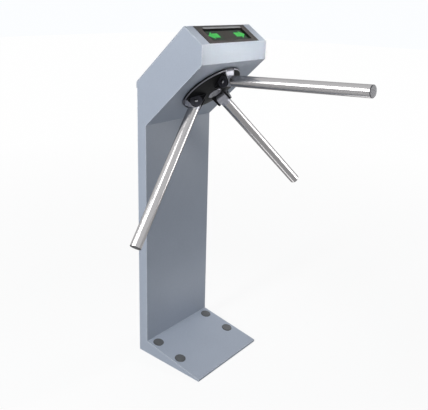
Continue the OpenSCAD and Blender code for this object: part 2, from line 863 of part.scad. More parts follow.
module bearing_housing() {
    bore = bearing_r + seat_fit;
    step = bearing_r - bearing_ring / 2;
    color(zinc_colour) at_hub() difference() {
        union() {
            bar(house_r, house_end, chassis_rear);
            bar(house_r + house_flange_w, chassis_rear - house_flange_t, chassis_rear);
        }
        bar(step, house_end - cut, chassis_rear + cut);
        bar(bore, front_bearing_top - bearing_w - seat_fit, chassis_rear + cut);
        bar(bore, house_end - cut, rear_bearing_top + seat_fit);
        house_screw_places() bar(house_screw_r + seat_fit, chassis_rear - house_flange_t - cut, cut);
    }
}

module house_screw_places() {
    for (i = [0 : house_screws - 1]) rotate([0, 0, house_screw_turn + 360 * i / house_screws])
        translate([house_screw_ring, 0, 0]) children();
}

module bearing_screws() {
    head = chassis_rear - house_flange_t;
    color(zinc_colour) at_hub() house_screw_places() {
        bar(house_screw_r, head, chassis_front);
        bar(screw_head_r, head - screw_head_t, head);
    }
}

// Spring ring in the shaft's groove
module retaining_ring() {
    top = house_end - ring_gap - seat_fit / 2;
    color(steel_colour) at_hub() difference() {
        bar(shaft_r - ring_depth + ring_w, top - ring_t + seat_fit, top);
        bar(shaft_r - ring_depth + seat_fit, top - ring_t - cut, top + cut);
        translate([0, -ring_opening / 2, top - ring_t - cut])
            cube([shaft_r + ring_w, ring_opening, ring_t + 2 * cut]);
    }
}

// Signal cam, with a lobe for each arm
module signal_cam() {
    color(steel_colour) at_hub() difference() {
        translate([0, 0, cam_end]) linear_extrude(cam_t) polygon([
            for (i = [0 : cam_steps - 1]) let (
                a = 360 * i / cam_steps,
                r = cam_valley_r + cam_lift * (1 - cos(len(arm_azimuths) * a)) / 2)
                r * [cos(a), sin(a)]]);
        bar(shaft_r + seat_fit, cam_end - cut, cam_top + cut);
    }
}

// Involute teeth
function roll_angle(a) = tan(a) * 180 / PI - a;
function half_tooth(teeth, r, base_r) = 90 / teeth
    - gear_backlash / (gear_module * teeth) * 90 / PI
    + roll_angle(gear_pressure) - roll_angle(acos(min(1, base_r / r)));
function polar(r, a) = r * [cos(a), sin(a)];
function gear_outline(teeth) = let (
    pitch_r = gear_module * teeth / 2,
    base_r = pitch_r * cos(gear_pressure),
    root_r = pitch_r - gear_module * dedendum_share,
    tip_r = pitch_r + gear_module * addendum_share,
    start_r = max(base_r, root_r))
    [for (k = [0 : teeth - 1]) let (mid = 360 * k / teeth)
        each concat(
            [polar(root_r, mid - half_tooth(teeth, start_r, base_r))],
            [for (j = [0 : flank_steps]) let (r = start_r + (tip_r - start_r) * j / flank_steps)
                polar(r, mid - half_tooth(teeth, r, base_r))],
            [for (j = [flank_steps : -1 : 0]) let (r = start_r + (tip_r - start_r) * j / flank_steps)
                polar(r, mid + half_tooth(teeth, r, base_r))],
            [polar(root_r, mid + half_tooth(teeth, start_r, base_r))])];

// Gear wheel on the shaft: it turns the damper and carries the lock pins
module gear_wheel() {
    color(steel_colour) at_hub() difference() {
        union() {
            translate([0, 0, gear_end]) rotate([0, 0, damper_azimuth]) linear_extrude(gear_t)
                polygon(gear_outline(gear_teeth));
            bar(shaft_r + gear_hub_wall, cam_end - ring_gap / 2, gear_top - cut);
        }
        bar(shaft_r + seat_fit, gear_end - cut, cam_end + cut);
        for (i = arm_azimuths) rotate([0, 0, i]) translate([pin_pitch_r, 0, 0])
            bar(lock_pin_stub_r + seat_fit, gear_end - cut, gear_end + gear_t / 2);
        for (i = [0 : web_holes - 1]) rotate([0, 0, web_hole_turn + 360 * i / web_holes])
            translate([web_hole_ring, 0, 0]) bar(web_hole_r, gear_end - cut, gear_top + cut);
    }
}

module lock_pins() {
    color(steel_colour) at_hub() for (i = arm_azimuths) rotate([0, 0, i])
        translate([pin_pitch_r, 0, 0]) {
            bar(pin_r, gear_end - lock_pin_len, gear_end);
            bar(lock_pin_stub_r, gear_end, gear_end + gear_t / 2 - seat_gap);
        }
}

module shaft_nut() {
    color(zinc_colour) at_hub() difference() {
        hex_bar(shaft_nut_r, gear_end - shaft_nut_t, gear_end);
        bar(shaft_r + seat_fit, gear_end - shaft_nut_t - cut, gear_end + cut);
    }
}

// Chassis plate, held off the slope by four spacers
function chassis_corners() = [for (x = [-chassis_up + spacer_inset, chassis_down - spacer_inset])
    for (s = [-1, 1]) [x, s * (chassis_half_w - spacer_inset)]];

module chassis_plate() {
    l = chassis_up + chassis_down;
    color(zinc_colour) at_hub() difference() {
        translate([-chassis_up, -chassis_half_w, chassis_rear]) cube([l, 2 * chassis_half_w, chassis_t]);
        bar(shaft_collar_r + chassis_hole_gap, chassis_rear - cut, chassis_front + cut);
        for (p = chassis_corners()) translate(p)
            bar(spacer_bolt_r + seat_fit, chassis_rear - cut, chassis_front + cut);
        house_screw_places() bar(house_screw_r + seat_fit, chassis_rear - cut, chassis_front + cut);
    }
}

module chassis_spacers() {
    color(zinc_colour) at_hub() for (p = chassis_corners()) translate(p) difference() {
        bar(spacer_r, chassis_front, -sheet_t);
        bar(spacer_bolt_r + seat_fit, chassis_front - cut, -sheet_t + cut);
    }
}

module chassis_bolts() {
    color(zinc_colour) at_hub() for (p = chassis_corners()) translate(p) {
        bar(spacer_bolt_r, chassis_rear, -sheet_t);
        hex_bar(bolt_hex_r, chassis_rear - bolt_hex_t, chassis_rear);
    }
}

// Flat link between two round ends, with exact flanks
module link_shape(p, p_r, q, q_r) {
    d = q - p;
    l = norm(d);
    a = atan2(d[1], d[0]);
    b = acos((p_r - q_r) / l);
    translate(p) circle(r = p_r);
    translate(q) circle(r = q_r);
    polygon([p, p + polar(p_r, a - b), q + polar(q_r, a - b), q, q + polar(q_r, a + b), p + polar(p_r, a + b)]);
}

// A shouldered post on the chassis plate, with a clip on its pin
module shouldered_post(shoulder, pin, pin_end, clip) {
    bar(post_r, shoulder, chassis_rear);
    bar(pin, pin_end - clip_t - seat_gap, shoulder);
    bar(clip, pin_end - clip_t - seat_gap, pin_end - seat_gap);
}

// Centring crank: a pinion with a crank pin, in the frame of its own post
module at_crank() {
    at_hub() rotate([0, 0, crank_azimuth]) translate([crank_space, 0, 0]) children();
}

// The same place, with X along the spring
module at_spring() {
    at_crank() rotate([0, 0, spring_azimuth - crank_azimuth]) children();
}

module centring_crank() {
    color(brass_colour) {
        at_crank() difference() {
            translate([0, 0, pinion_end]) rotate([0, 0, 180 + 180 / crank_teeth])
                linear_extrude(pinion_top - pinion_end) polygon(gear_outline(crank_teeth));
            bar(crank_bore_r + run_fit, pinion_end - cut, pinion_top + cut);
        }
        at_spring() translate([crank_throw, 0, 0])
            bar(crank_pin_r, gear_end - crank_pin_len, pinion_end + pinion_overlap);
    }
}

module crank_post() {
    color(steel_colour) at_crank()
        shouldered_post(pinion_top + seat_gap, crank_bore_r, pinion_end, crank_clip_r);
}

module spring_post() {
    color(steel_colour) at_spring() translate([spring_reach, 0, 0]) {
        bar(spring_post_r, gear_end, chassis_rear);
        bar(crank_pin_r, gear_end - crank_pin_len, gear_end);
    }
}

// Tension spring of the centring crank: one wire, wound between its two pins
function spring_wire(from, to) = let (
    d = to - from,
    l = norm(d),
    u = unit(d),
    v = [-u[1], u[0], 0],
    n = spring_turns * spring_steps)
    [for (k = [0 : n]) from + u * (l * k / n)
        + spring_r * (v * cos(360 * k / spring_steps) + [0, 0, 1] * sin(360 * k / spring_steps))];

module swept_wire(path, r) {
    n = len(path);
    rings = [for (k = [0 : n - 1]) let (
        t = unit(path[min(k + 1, n - 1)] - path[max(k - 1, 0)]),
        a = unit(cross(t, [0, 0, 1])),
        b = cross(t, a))
        each [for (j = [0 : spring_sides - 1]) path[k]
            + r * (a * cos(360 * j / spring_sides) + b * sin(360 * j / spring_sides))]];
    faces = concat(
        [[for (j = [0 : spring_sides - 1]) j]],
        [for (k = [0 : n - 2]) each [for (j = [0 : spring_sides - 1]) let (
            a = k * spring_sides + j,
            b = k * spring_sides + (j + 1) % spring_sides)
            each [[a, a + spring_sides, b], [b, a + spring_sides, b + spring_sides]]]],
        [[for (j = [spring_sides - 1 : -1 : 0]) (n - 1) * spring_sides + j]]);
    polyhedron(points = rings, faces = faces);
}

module centring_spring() {
    depth = gear_end - seat_gap - spring_r - spring_wire_r;
    off_pin = crank_pin_r + spring_wire_r + seat_gap;
    color(steel_colour) at_spring() swept_wire(
        spring_wire([crank_throw + off_pin, 0, depth], [spring_reach - off_pin, 0, depth]), spring_wire_r);
}

// Rotary damper: a sealed cylinder on the chassis, with a pinion in mesh with the gear wheel
module at_damper() {
    at_hub() rotate([0, 0, damper_azimuth]) translate([gear_space, 0, 0]) children();
}

module rotary_damper() {
    body_end = chassis_rear - damper_len;
    color(casting_colour) at_damper() difference() {
        union() {
            bar(damper_r, body_end, chassis_rear);
            bar(damper_neck_r, body_end - damper_neck_len, body_end);
        }
        bar(damper_shaft_r + run_fit, body_end - damper_neck_len - cut, body_end + damper_len / 2);
    }
}

module damper_pinion() {
    color(brass_colour) at_damper() {
        translate([0, 0, pinion_end]) rotate([0, 0, 180 + 180 / pinion_teeth])
            linear_extrude(pinion_top - pinion_end) polygon(gear_outline(pinion_teeth));
        bar(damper_shaft_r, gear_top, chassis_rear - damper_len / 2 - seat_gap);
    }
}

// Pawl outline while it locks, for the side of positive Y. The nose's face is an arc about the post,
// so the nose swings past its pin at an even gap and locks it square
module pawl_shape() {
    tail_dir = polar(1, 180 + pawl_swing / 2);
    difference() {
        union() {
            intersection() {
                translate([-pawl_nose_out, pawl_nose_side])
                    square([pawl_nose_out - pawl_nose_in, pawl_nose_w]);
                translate(pawl_post_at) circle(r = pawl_face_r);
            }
            link_shape(pawl_post_at, pawl_boss_r,
                [-pawl_nose_out + pawl_arm_w / 2, pawl_nose_side + pawl_arm_w / 2], pawl_arm_w / 2);
            link_shape(pawl_post_at, pawl_boss_r,
                pawl_post_at + tail_dir * (pawl_tail_len + pawl_tail_over), pawl_tail_w / 2);
        }
        translate(pawl_post_at) rotate(180 + pawl_swing / 2)
            translate([pawl_tail_len, 0]) {
                circle(r = link_pin_r + link_slot_fit);
                translate([0, -link_pin_r - link_slot_fit])
                    square([pawl_tail_w + pawl_tail_over, 2 * (link_pin_r + link_slot_fit)]);
            }
    }
}

module pawl(s) {
    color(zinc_colour) at_hub() mirror([0, s > 0 ? 0 : 1, 0]) difference() {
        translate(pawl_post_at) rotate([0, 0, -pawl_swing]) translate(-pawl_post_at)
            translate([0, 0, pawl_end]) linear_extrude(pawl_t) pawl_shape();
        translate(pawl_post_at) bar(pawl_pin_r + run_fit, pawl_end - cut, pawl_top + cut);
    }
}

module pawl_posts() {
    color(steel_colour) at_hub() for (s = [-1, 1]) translate([pawl_post_at[0], s * pawl_post_at[1], 0])
        shouldered_post(pawl_top + seat_gap, pawl_pin_r, pawl_end, clip_r);
}

// Solenoid plungers: a rod across the head, with a pin up through the pawl's slot
plunger_x = pawl_post_at[0] - pawl_tail_len * cos(pawl_swing / 2);
plunger_y = pawl_post_at[1] + pawl_tail_len * sin(pawl_swing / 2);

module plunger(s) {
    color(steel_colour) at_hub() mirror([0, s > 0 ? 0 : 1, 0]) translate([plunger_x, plunger_y, 0]) {
        translate([0, -plunger_in, plunger_axis]) rotate([-90, 0, 0])
            cylinder(r = plunger_r, h = plunger_in + plunger_out);
        bar(link_pin_r, pawl_end - move_gap, plunger_axis);
    }
}

// Solenoid: a coil between the two ends of a folded iron frame
module solenoids() {
    color(copper_colour) at_hub() for (s = [0, 1]) mirror([0, s, 0])
        translate([plunger_x, plunger_y + solenoid_in, plunger_axis]) difference() {
            union() {
                translate([-solenoid_w / 2, 0, -solenoid_w / 2])
                    cube([solenoid_w, solenoid_frame_t, solenoid_w]);
                translate([-solenoid_w / 2, solenoid_len - solenoid_frame_t, -solenoid_w / 2])
                    cube([solenoid_w, solenoid_frame_t, solenoid_w]);
                translate([-solenoid_w / 2, 0, solenoid_w / 2 - solenoid_frame_t])
                    cube([solenoid_w, solenoid_len, solenoid_frame_t]);
                rotate([-90, 0, 0]) cylinder(r = solenoid_w / 2 - coil_inset, h = solenoid_len);
            }
            translate([0, -cut, 0]) rotate([-90, 0, 0])
                cylinder(r = plunger_r + plunger_fit, h = solenoid_len + 2 * cut);
        }
}

module solenoid_brackets() {
    seat = plunger_axis + solenoid_w / 2;
    w = solenoid_w - 2 * bracket_inset;
    start = plunger_y + solenoid_in + (solenoid_len - bracket_foot) / 2;
    color(zinc_colour) at_hub() for (s = [0, 1]) mirror([0, s, 0])
        translate([plunger_x - w / 2, start, 0]) {
            translate([0, 0, chassis_rear - bracket_t]) cube([w, bracket_foot, bracket_t]);
            translate([0, 0, seat]) cube([w, bracket_foot, bracket_t]);
            translate([0, bracket_foot - bracket_t, seat]) cube([w, bracket_t, chassis_rear - seat]);
        }
}

// Two inductive sensors that watch the lobes of the signal cam
module at_sensors() {
    at_hub() for (a = sensor_azimuths) rotate([0, 0, a])
        translate([cam_valley_r + cam_lift + sensor_gap, 0, (cam_top + cam_end) / 2]) children();
}

module position_sensors() {
    color(brass_colour) at_sensors() rotate([0, 90, 0]) cylinder(r = sensor_r, h = sensor_len);
}

module sensor_brackets() {
    drop = chassis_rear - (cam_top + cam_end) / 2;
    color(zinc_colour) at_sensors() difference() {
        translate([sensor_block_off, -sensor_block / 2, -sensor_block / 2])
            cube([sensor_block, sensor_block, sensor_block / 2 + drop]);
        translate([-cut, 0, 0]) rotate([0, 90, 0]) cylinder(r = sensor_r + seat_fit, h = sensor_len + 2 * cut);
    }
}

// Control board on four standoffs, with its chip and terminal strip
module control_board() {
    top = -sheet_t - standoff_len;
    color(board_colour) at_hub() difference() {
        translate([control_from, -control_w / 2, top - board_t]) union() {
            cube([control_l, control_w, board_t]);
            translate([standoff_inset, (control_w - terminal_w) / 2, -terminal_h])
                cube([terminal_l, terminal_w, terminal_h]);
            translate([control_l - standoff_inset - chip_w, (control_w - chip_w) / 2, -chip_h])
                cube([chip_w, chip_w, chip_h]);
        }
        for (p = board_corners()) translate(p) bar(standoff_r / 2, top - board_t - cut, top + cut);
    }
}

function board_corners() = [for (x = [standoff_inset, control_l - standoff_inset])
    for (s = [-1, 1]) [control_from + x, s * (control_w / 2 - standoff_inset)]];

module board_standoffs() {
    color(brass_colour) at_hub() for (p = board_corners()) translate(p) {
        bar(standoff_r, -sheet_t - standoff_len, -sheet_t);
        bar(standoff_r / 2 - seat_fit, -sheet_t - standoff_len - 2 * board_t, -sheet_t - standoff_len);
    }
}

housing();
floor_plate();
bolt_caps();
rear_cover();
cover_lock();
display_bezel();
display_window();
arrow_lenses();
indicator_board();
hub();
hub_cap();
hub_bolt();
pivot_bolts();
pivot_nuts();
knuckle(0);  // arm_a_knuckle
arm_tube(0);  // arm_a_tube
arm_plug(0);  // arm_a_plug
knuckle(1);  // arm_b_knuckle
arm_tube(1);  // arm_b_tube
arm_plug(1);  // arm_b_plug
knuckle(2);  // arm_c_knuckle
arm_tube(2);  // arm_c_tube
arm_plug(2);  // arm_c_plug
rotor_shaft();
bearing(front_bearing_top);  // front_bearing
bearing(rear_bearing_top);  // rear_bearing
bearing_housing();
bearing_screws();
retaining_ring();
signal_cam();
gear_wheel();
lock_pins();
shaft_nut();
chassis_plate();
chassis_spacers();
chassis_bolts();
centring_crank();
crank_post();
spring_post();
centring_spring();
rotary_damper();
damper_pinion();
pawl(1);  // left_pawl
pawl(-1);  // right_pawl
pawl_posts();
plunger(1);  // left_plunger
plunger(-1);  // right_plunger
solenoids();
solenoid_brackets();
position_sensors();
sensor_brackets();
control_board();
board_standoffs();
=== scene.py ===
"""Tripod turnstile: materials, small detail, floor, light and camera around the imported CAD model."""

import json
import math

import bmesh
import bpy
from mathutils import Matrix, Vector

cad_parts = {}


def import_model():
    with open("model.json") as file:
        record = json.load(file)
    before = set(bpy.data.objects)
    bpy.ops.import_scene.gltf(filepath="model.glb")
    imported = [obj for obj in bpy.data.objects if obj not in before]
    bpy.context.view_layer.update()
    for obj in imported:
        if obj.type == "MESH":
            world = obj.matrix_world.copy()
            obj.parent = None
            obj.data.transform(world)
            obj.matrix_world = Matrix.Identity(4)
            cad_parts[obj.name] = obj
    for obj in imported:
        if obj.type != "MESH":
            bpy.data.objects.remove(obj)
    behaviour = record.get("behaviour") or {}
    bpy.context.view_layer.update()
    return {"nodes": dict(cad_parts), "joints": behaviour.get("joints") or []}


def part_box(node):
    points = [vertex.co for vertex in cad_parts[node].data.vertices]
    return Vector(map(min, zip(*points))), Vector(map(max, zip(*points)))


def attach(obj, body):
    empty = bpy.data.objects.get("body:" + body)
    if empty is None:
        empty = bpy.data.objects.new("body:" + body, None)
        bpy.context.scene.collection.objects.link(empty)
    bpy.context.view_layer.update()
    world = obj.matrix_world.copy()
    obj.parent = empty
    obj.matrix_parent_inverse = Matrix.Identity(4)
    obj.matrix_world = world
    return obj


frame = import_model()

NODES = frame["nodes"]
JOINTS = {joint["name"]: joint for joint in frame["joints"]}
ARMS = "abc"
MM = 0.001

# Camera, solved from the photograph. The frame is 428 by 410 pixels.
FRAME_W, FRAME_H = 428, 410
FOCAL_PX = 570.73
CENTRE_PX = (206.0, 159.9)
SENSOR = 36.0
CAMERA_AT = Vector((1107.3, -1282.3, 1114.9)) * MM
CAMERA_RIGHT = Vector((0.763541, 0.645394, 0.021698))
CAMERA_DOWN = Vector((0.189312, -0.191590, -0.963044))
CAMERA_AHEAD = Vector((-0.617386, 0.739432, -0.268468))

# Plane of the display: its back edge, and the directions along it to the front and off it
TOP_BACK = Vector((71.0, 0.0, 1050.0)) * MM
TOP_RUN, TOP_DROP = 65.0, 45.0
TOP_ALONG = Vector((TOP_RUN, 0.0, -TOP_DROP)).normalized()
TOP_OFF = Vector((TOP_DROP, 0.0, TOP_RUN)).normalized()

# Display, in millimetres: heights of the bezel and the glass off its plane, and the arrows' middles
# along it and across it
BEZEL_TOP = 1.2
GLASS_TOP = -2.8
ARROW_ALONG = 41.0
ARROW_AT = 59.0

# Hub, in millimetres: its radius and rim, and an ear's reach and outer face, from the pivot's middle
HUB_RADIUS = 96.0
RIM_WIDTH = 3.0
EAR_REACH = 28.0
EAR_FACE = 22.5

# Domed button on a pivot bolt, in millimetres: where it stands, from the pivot's middle, and its radii
# and heights from its foot to its top
PIVOT_HALF = 23.3
BUTTON_PROFILE = ((5.4, 0.0), (5.4, 0.5), (5.0, 1.0), (4.0, 1.5), (2.6, 1.85), (1.2, 2.0))
BUTTON_STEPS = 28

# Sections of the rings round the glass, in millimetres. Each row is a rectangle with round corners:
# its back and front edges along the display, half its width, its corner radius and its height.
MASK_CHAMFER = 0.3
MASK_SECTION = (
    (12.3, 66.7, 101.7, 2.0, GLASS_TOP),
    (12.3, 66.7, 101.7, 2.0, BEZEL_TOP - MASK_CHAMFER),
    (12.6, 66.4, 101.4, 1.8, BEZEL_TOP),
    (16.7, 65.8, 88.3, 2.2, BEZEL_TOP),
    (17.0, 65.5, 88.0, 2.0, BEZEL_TOP - MASK_CHAMFER),
    (17.0, 65.5, 88.0, 2.0, GLASS_TOP),
)
# The gasket is black rubber that lines the mask's inner wall and the glass's edge, widest at the back; its
# black is also painted shade standing in for the shade in the recess
SHADE_GASKET_SECTION = (
    (17.05, 65.45, 87.95, 2.0, GLASS_TOP),
    (17.05, 65.45, 87.95, 2.0, 0.6),
    (17.9, 65.0, 87.2, 1.8, 0.7),
    (18.3, 64.8, 86.9, 1.6, -1.9),
    (21.4, 64.0, 85.9, 1.4, -2.1),
    (21.8, 63.8, 85.6, 1.2, GLASS_TOP),
)
CORNER_STEPS = 6

# Strip behind the glass: its edges along the display and across it, and its thickness
STRIP_BACK, STRIP_FRONT = 9.9, 16.5
STRIP_LEFT, STRIP_RIGHT = -80.0, 86.0
STRIP_THICK = 0.5

# Arrow: half its length, where its head starts, half widths of head and shaft, and its thickness
ARROW_HALF = 22.5
ARROW_NECK = 2.0
ARROW_HEAD = 14.8
ARROW_SHAFT = 8.8
ARROW_THICK = 0.3

# Rounded edges of the trim, in millimetres, and their segments
STRIP_EDGE = 0.2
ARROW_EDGE = 0.12
TRIM_SEGMENTS = 2

# Which points of a CAD node are one, which of its faces are flat, and which edges are rounded
WELD_MM = 0.002
FLAT_DEGREES = 0.4
SHARP_DEGREES = 32.0

# Floor, in metres: half its size, and the distances from the origin over which it turns whiter
FLOOR_HALF = 14.0
FADE_START, FADE_END = 0.7, 3.0

# Share of plain white that the floor shows to the camera at those distances, and in mirrors
FLOOR_NEAR, FLOOR_FAR = 0.89, 0.99
FLOOR_MIRRORED = 0.35

# World: its colour, and its strength for light and for what sees it directly or in a mirror
WORLD_COLOUR = (0.97, 0.985, 1.0, 1.0)
WORLD_LIGHT, WORLD_SEEN = 0.43, 1.0

# Colours of the light
WHITE = (1.0, 1.0, 1.0)
WARM_WHITE = (1.0, 0.965, 0.92)


# Node helpers


class Graph:
    """Builds one material's node tree."""

    def __init__(self, name):
        self.material = bpy.data.materials.new(name)
        self.material.use_nodes = True
        self.nodes = self.material.node_tree.nodes
        self.links = self.material.node_tree.links
        self.shader = self.nodes["Principled BSDF"]

    def fill(self, socket, value):
        """Links a socket to another, or sets it to a value."""
        if isinstance(value, bpy.types.NodeSocket):
            self.links.new(value, socket)
        else:
            socket.default_value = value

    def add(self, kind, inputs=None, **settings):
        node = self.nodes.new(kind)
        for key, value in settings.items():
            setattr(node, key, value)
        for key, value in (inputs or {}).items():
            self.fill(node.inputs[key], value)
        return node

    def set(self, **values):
        """Sets or links sockets of the shader, with underscores for spaces."""
        for key, value in values.items():
            self.fill(self.shader.inputs[key.replace("_", " ")], value)

    def point(self):
        """The surface's own place, in the row frame."""
        return self.add("ShaderNodeTexCoord").outputs["Object"]

    def place(self, scale=(1, 1, 1), rotation=(0, 0, 0)):
        """The surface's place, turned and then scaled."""
        turned = self.add("ShaderNodeMapping", {"Vector": self.point(), "Rotation": rotation})
        return self.add("ShaderNodeMapping", {"Vector": turned.outputs[0], "Scale": scale}).outputs[0]

    def noise(self, vector, scale, detail=3.0, roughness=0.5):
        inputs = {"Vector": vector, "Scale": scale, "Detail": detail, "Roughness": roughness}
        return self.add("ShaderNodeTexNoise", inputs).outputs["Fac"]

    def span(self, value, low, high, start=0.0, end=1.0):
        """Maps value from start..end to low..high."""
        inputs = {"Value": value, "From Min": start, "From Max": end, "To Min": low, "To Max": high}
        return self.add("ShaderNodeMapRange", inputs).outputs["Result"]

    def rise(self, value, start, end, top=1.0):
        """0 at start and before it, top at end and past it."""
        return self.span(value, 0.0, top, start, end)

    def math(self, operation, *values):
        return self.add("ShaderNodeMath", dict(enumerate(values)), operation=operation).outputs[0]

    def vector(self, operation, *values):
        """A vector from vectors."""
        node = self.add("ShaderNodeVectorMath", dict(enumerate(values)), operation=operation)
        return node.outputs["Vector"]

    def measure(self, operation, *values):
        """A number from vectors."""
        node = self.add("ShaderNodeVectorMath", dict(enumerate(values)), operation=operation)
        return node.outputs["Value"]

    def blend(self, factor, a, b):
        node = self.add("ShaderNodeMix", data_type="RGBA")
        self.links.new(factor, node.inputs["Factor"])
        colours = [s for s in node.inputs if s.name in ("A", "B") and s.type == "RGBA"]
        for socket, value in zip(colours, (a, b)):
            self.fill(socket, value if isinstance(value, bpy.types.NodeSocket) else (*value, 1.0))
        return [s for s in node.outputs if s.type == "RGBA"][0]

    def edges(self, radius, flat=0.995, sharp=0.86):
        """1 along rounded edges, 0 on flat faces."""
        rounded = self.add("ShaderNodeBevel", {"Radius": radius}, samples=6).outputs["Normal"]
        straight = self.add("ShaderNodeNewGeometry").outputs["True Normal"]
        return self.rise(self.measure("DOT_PRODUCT", rounded, straight), flat, sharp)

    def bump(self, height, strength, distance, below=None):
        inputs = {"Height": height, "Strength": strength, "Distance": distance}
        if below is not None:
            inputs["Normal"] = below
        return self.add("ShaderNodeBump", inputs).outputs["Normal"]


# Materials. Colours are linear, and texture scales are per metre.


def powder_coat():
    """Blue-grey powder coat: sand texture, faint mottling, and lighter edges, as thinner coat from wear and
    as a painted highlight.
    """
    base, mottled = (0.385, 0.432, 0.515), (0.405, 0.455, 0.54)
    light_grain, dark_sand = (0.46, 0.51, 0.60), (0.35, 0.395, 0.475)
    thin_coat_and_highlight = (0.72, 0.76, 0.82)
    g = Graph("powder_coat")
    place = g.place()
    sand = g.noise(place, scale=900.0, detail=2.0)
    grain = g.noise(place, scale=330.0, detail=3.0, roughness=0.65)
    patches = g.noise(place, scale=9.0, detail=4.0)
    wear = g.noise(place, scale=60.0, detail=4.0)
    colour = g.blend(g.rise(patches, 0.35, 0.65), base, mottled)
    colour = g.blend(g.rise(grain, 0.42, 0.62, top=0.55), colour, light_grain)
    colour = g.blend(g.rise(sand, 0.3, 0.7, top=0.5), colour, dark_sand)
    # Lighter along edges where the wear noise allows: thinner coat from wear, and a painted highlight along
    # the edges
    worn_and_highlit = g.math("MULTIPLY", g.edges(radius=0.0036), g.span(wear, 0.5, 1.0, 0.35, 0.65))
    colour = g.blend(worn_and_highlit, colour, thin_coat_and_highlight)
    normal = g.bump(grain, strength=0.20, distance=0.0006)
    normal = g.bump(sand, strength=0.14, distance=0.0003, below=normal)
    g.set(Base_Color=colour, Roughness=g.span(grain, 0.34, 0.44), Normal=normal, Specular_IOR_Level=0.35)
    return g.material


def satin_steel(name, along):
    """Stainless steel with a fine grain that runs along the given direction."""
    bright, dull, sheen = (0.50, 0.485, 0.485), (0.45, 0.4365, 0.4365), (0.55, 0.54, 0.54, 1.0)
    g = Graph(name)
    turn = along.to_track_quat("X", "Z").inverted().to_euler()
    grain = g.noise(g.place((0.6, 14.0, 14.0), tuple(turn)), scale=160.0, detail=4.0, roughness=0.65)
    cloud = g.noise(g.place(), scale=22.0, detail=3.0)
    colour = g.blend(g.rise(grain, 0.3, 0.7), dull, bright)
    rough = g.math("ADD", g.span(grain, 0.14, 0.26, 0.3, 0.7), g.span(cloud, -0.03, 0.05, 0.3, 0.7))
    g.set(Base_Color=colour, Metallic=1.0, Specular_Tint=sheen)
    g.set(Roughness=rough, Normal=g.bump(grain, strength=0.10, distance=0.0002))
    return g.material


def bare_rim(g, point):
    """1 on the rim that is turned bare, by the distance from the hub's axis."""
    axis = JOINTS["rotor_turn"]
    from_axis = g.vector("CROSS_PRODUCT", g.vector("SUBTRACT", point, axis["pos_m"]), axis["axis"])
    radius = g.measure("LENGTH", from_axis)
    inside = g.rise(radius, (HUB_RADIUS - RIM_WIDTH) * MM, (HUB_RADIUS - RIM_WIDTH + 0.3) * MM)
    outside = g.rise(radius, (HUB_RADIUS - 0.2) * MM, (HUB_RADIUS - 0.4) * MM)
    return g.math("MULTIPLY", inside, outside)


def bare_ear(g, point, pivot):
    """1 on the outer faces of the two ears that hold one pivot."""
    offset = g.vector("SUBTRACT", point, pivot["pos_m"])
    outwards = g.math("ABSOLUTE", g.measure("DOT_PRODUCT", offset, pivot["axis"]))
    face = g.rise(outwards, (EAR_FACE - 0.4) * MM, (EAR_FACE - 0.2) * MM)
    near = g.rise(g.measure("LENGTH", offset), (EAR_REACH + 1.0) * MM, EAR_REACH * MM)
    return g.math("MULTIPLY", face, near)


def hub_enamel():
    """Black enamel on the hub's casting, with dust, rubbed edges, and a rim and ear faces turned bare."""
    black, dusty = (0.008, 0.008, 0.009), (0.018, 0.018, 0.020)
    ear_metal, edge_metal, rim_metal = (0.07, 0.07, 0.085), (0.20, 0.20, 0.23), (0.22, 0.22, 0.25)
    g = Graph("hub_enamel")
    place, point = g.place(), g.point()
    wave = g.noise(place, scale=55.0, detail=2.0)
    dust = g.noise(place, scale=900.0, detail=3.0, roughness=0.7)
    wear = g.noise(place, scale=45.0, detail=3.0)
    rim = bare_rim(g, point)
    ear_a, ear_b, ear_c = (bare_ear(g, point, JOINTS[f"arm_{letter}_fold"]) for letter in ARMS)
    ears = g.math("MAXIMUM", g.math("MAXIMUM", ear_a, ear_b), ear_c)
    rubbed = g.math("MULTIPLY", g.edges(radius=0.0022), g.span(wear, 0.15, 0.8, 0.4, 0.65))
    colour = g.blend(g.rise(dust, 0.62, 0.8), black, dusty)
    colour = g.blend(ears, colour, ear_metal)
    colour = g.blend(rubbed, colour, edge_metal)
    colour = g.blend(rim, colour, rim_metal)
    bare = g.math("MAXIMUM", g.math("MAXIMUM", ears, rim), rubbed)
    g.set(Base_Color=colour, Metallic=bare, Roughness=g.span(dust, 0.40, 0.52, 0.35, 0.75))
    g.set(Normal=g.bump(wave, strength=0.10, distance=0.001), Specular_IOR_Level=0.06)
    return g.material


def moulded_plastic(name, colour, rough=(0.42, 0.55), grain=700.0, strength=0.2, gloss=0.5, rim=None):
    """Moulded plastic with a fine spark-eroded grain, and, where a rim colour is given, that darker colour
    along its edges as painted shade.
    """
    g = Graph(name)
    place = g.place()
    fine = g.noise(place, scale=grain, detail=2.0)
    broad = g.noise(place, scale=40.0, detail=3.0)
    lighter = tuple(min(1.0, 1.35 * c + 0.004) for c in colour)
    shade = g.blend(g.rise(broad, 0.3, 0.7), colour, lighter)
    # Painted shade: darker along the edges, where the piece meets what is round it
    if rim:
        shade = g.blend(g.edges(radius=0.0022, flat=0.999, sharp=0.97), shade, rim)
    g.set(Base_Color=shade, Roughness=g.span(fine, *rough), Specular_IOR_Level=gloss)
    g.set(Normal=g.bump(fine, strength=strength, distance=0.0003))
    return g.material


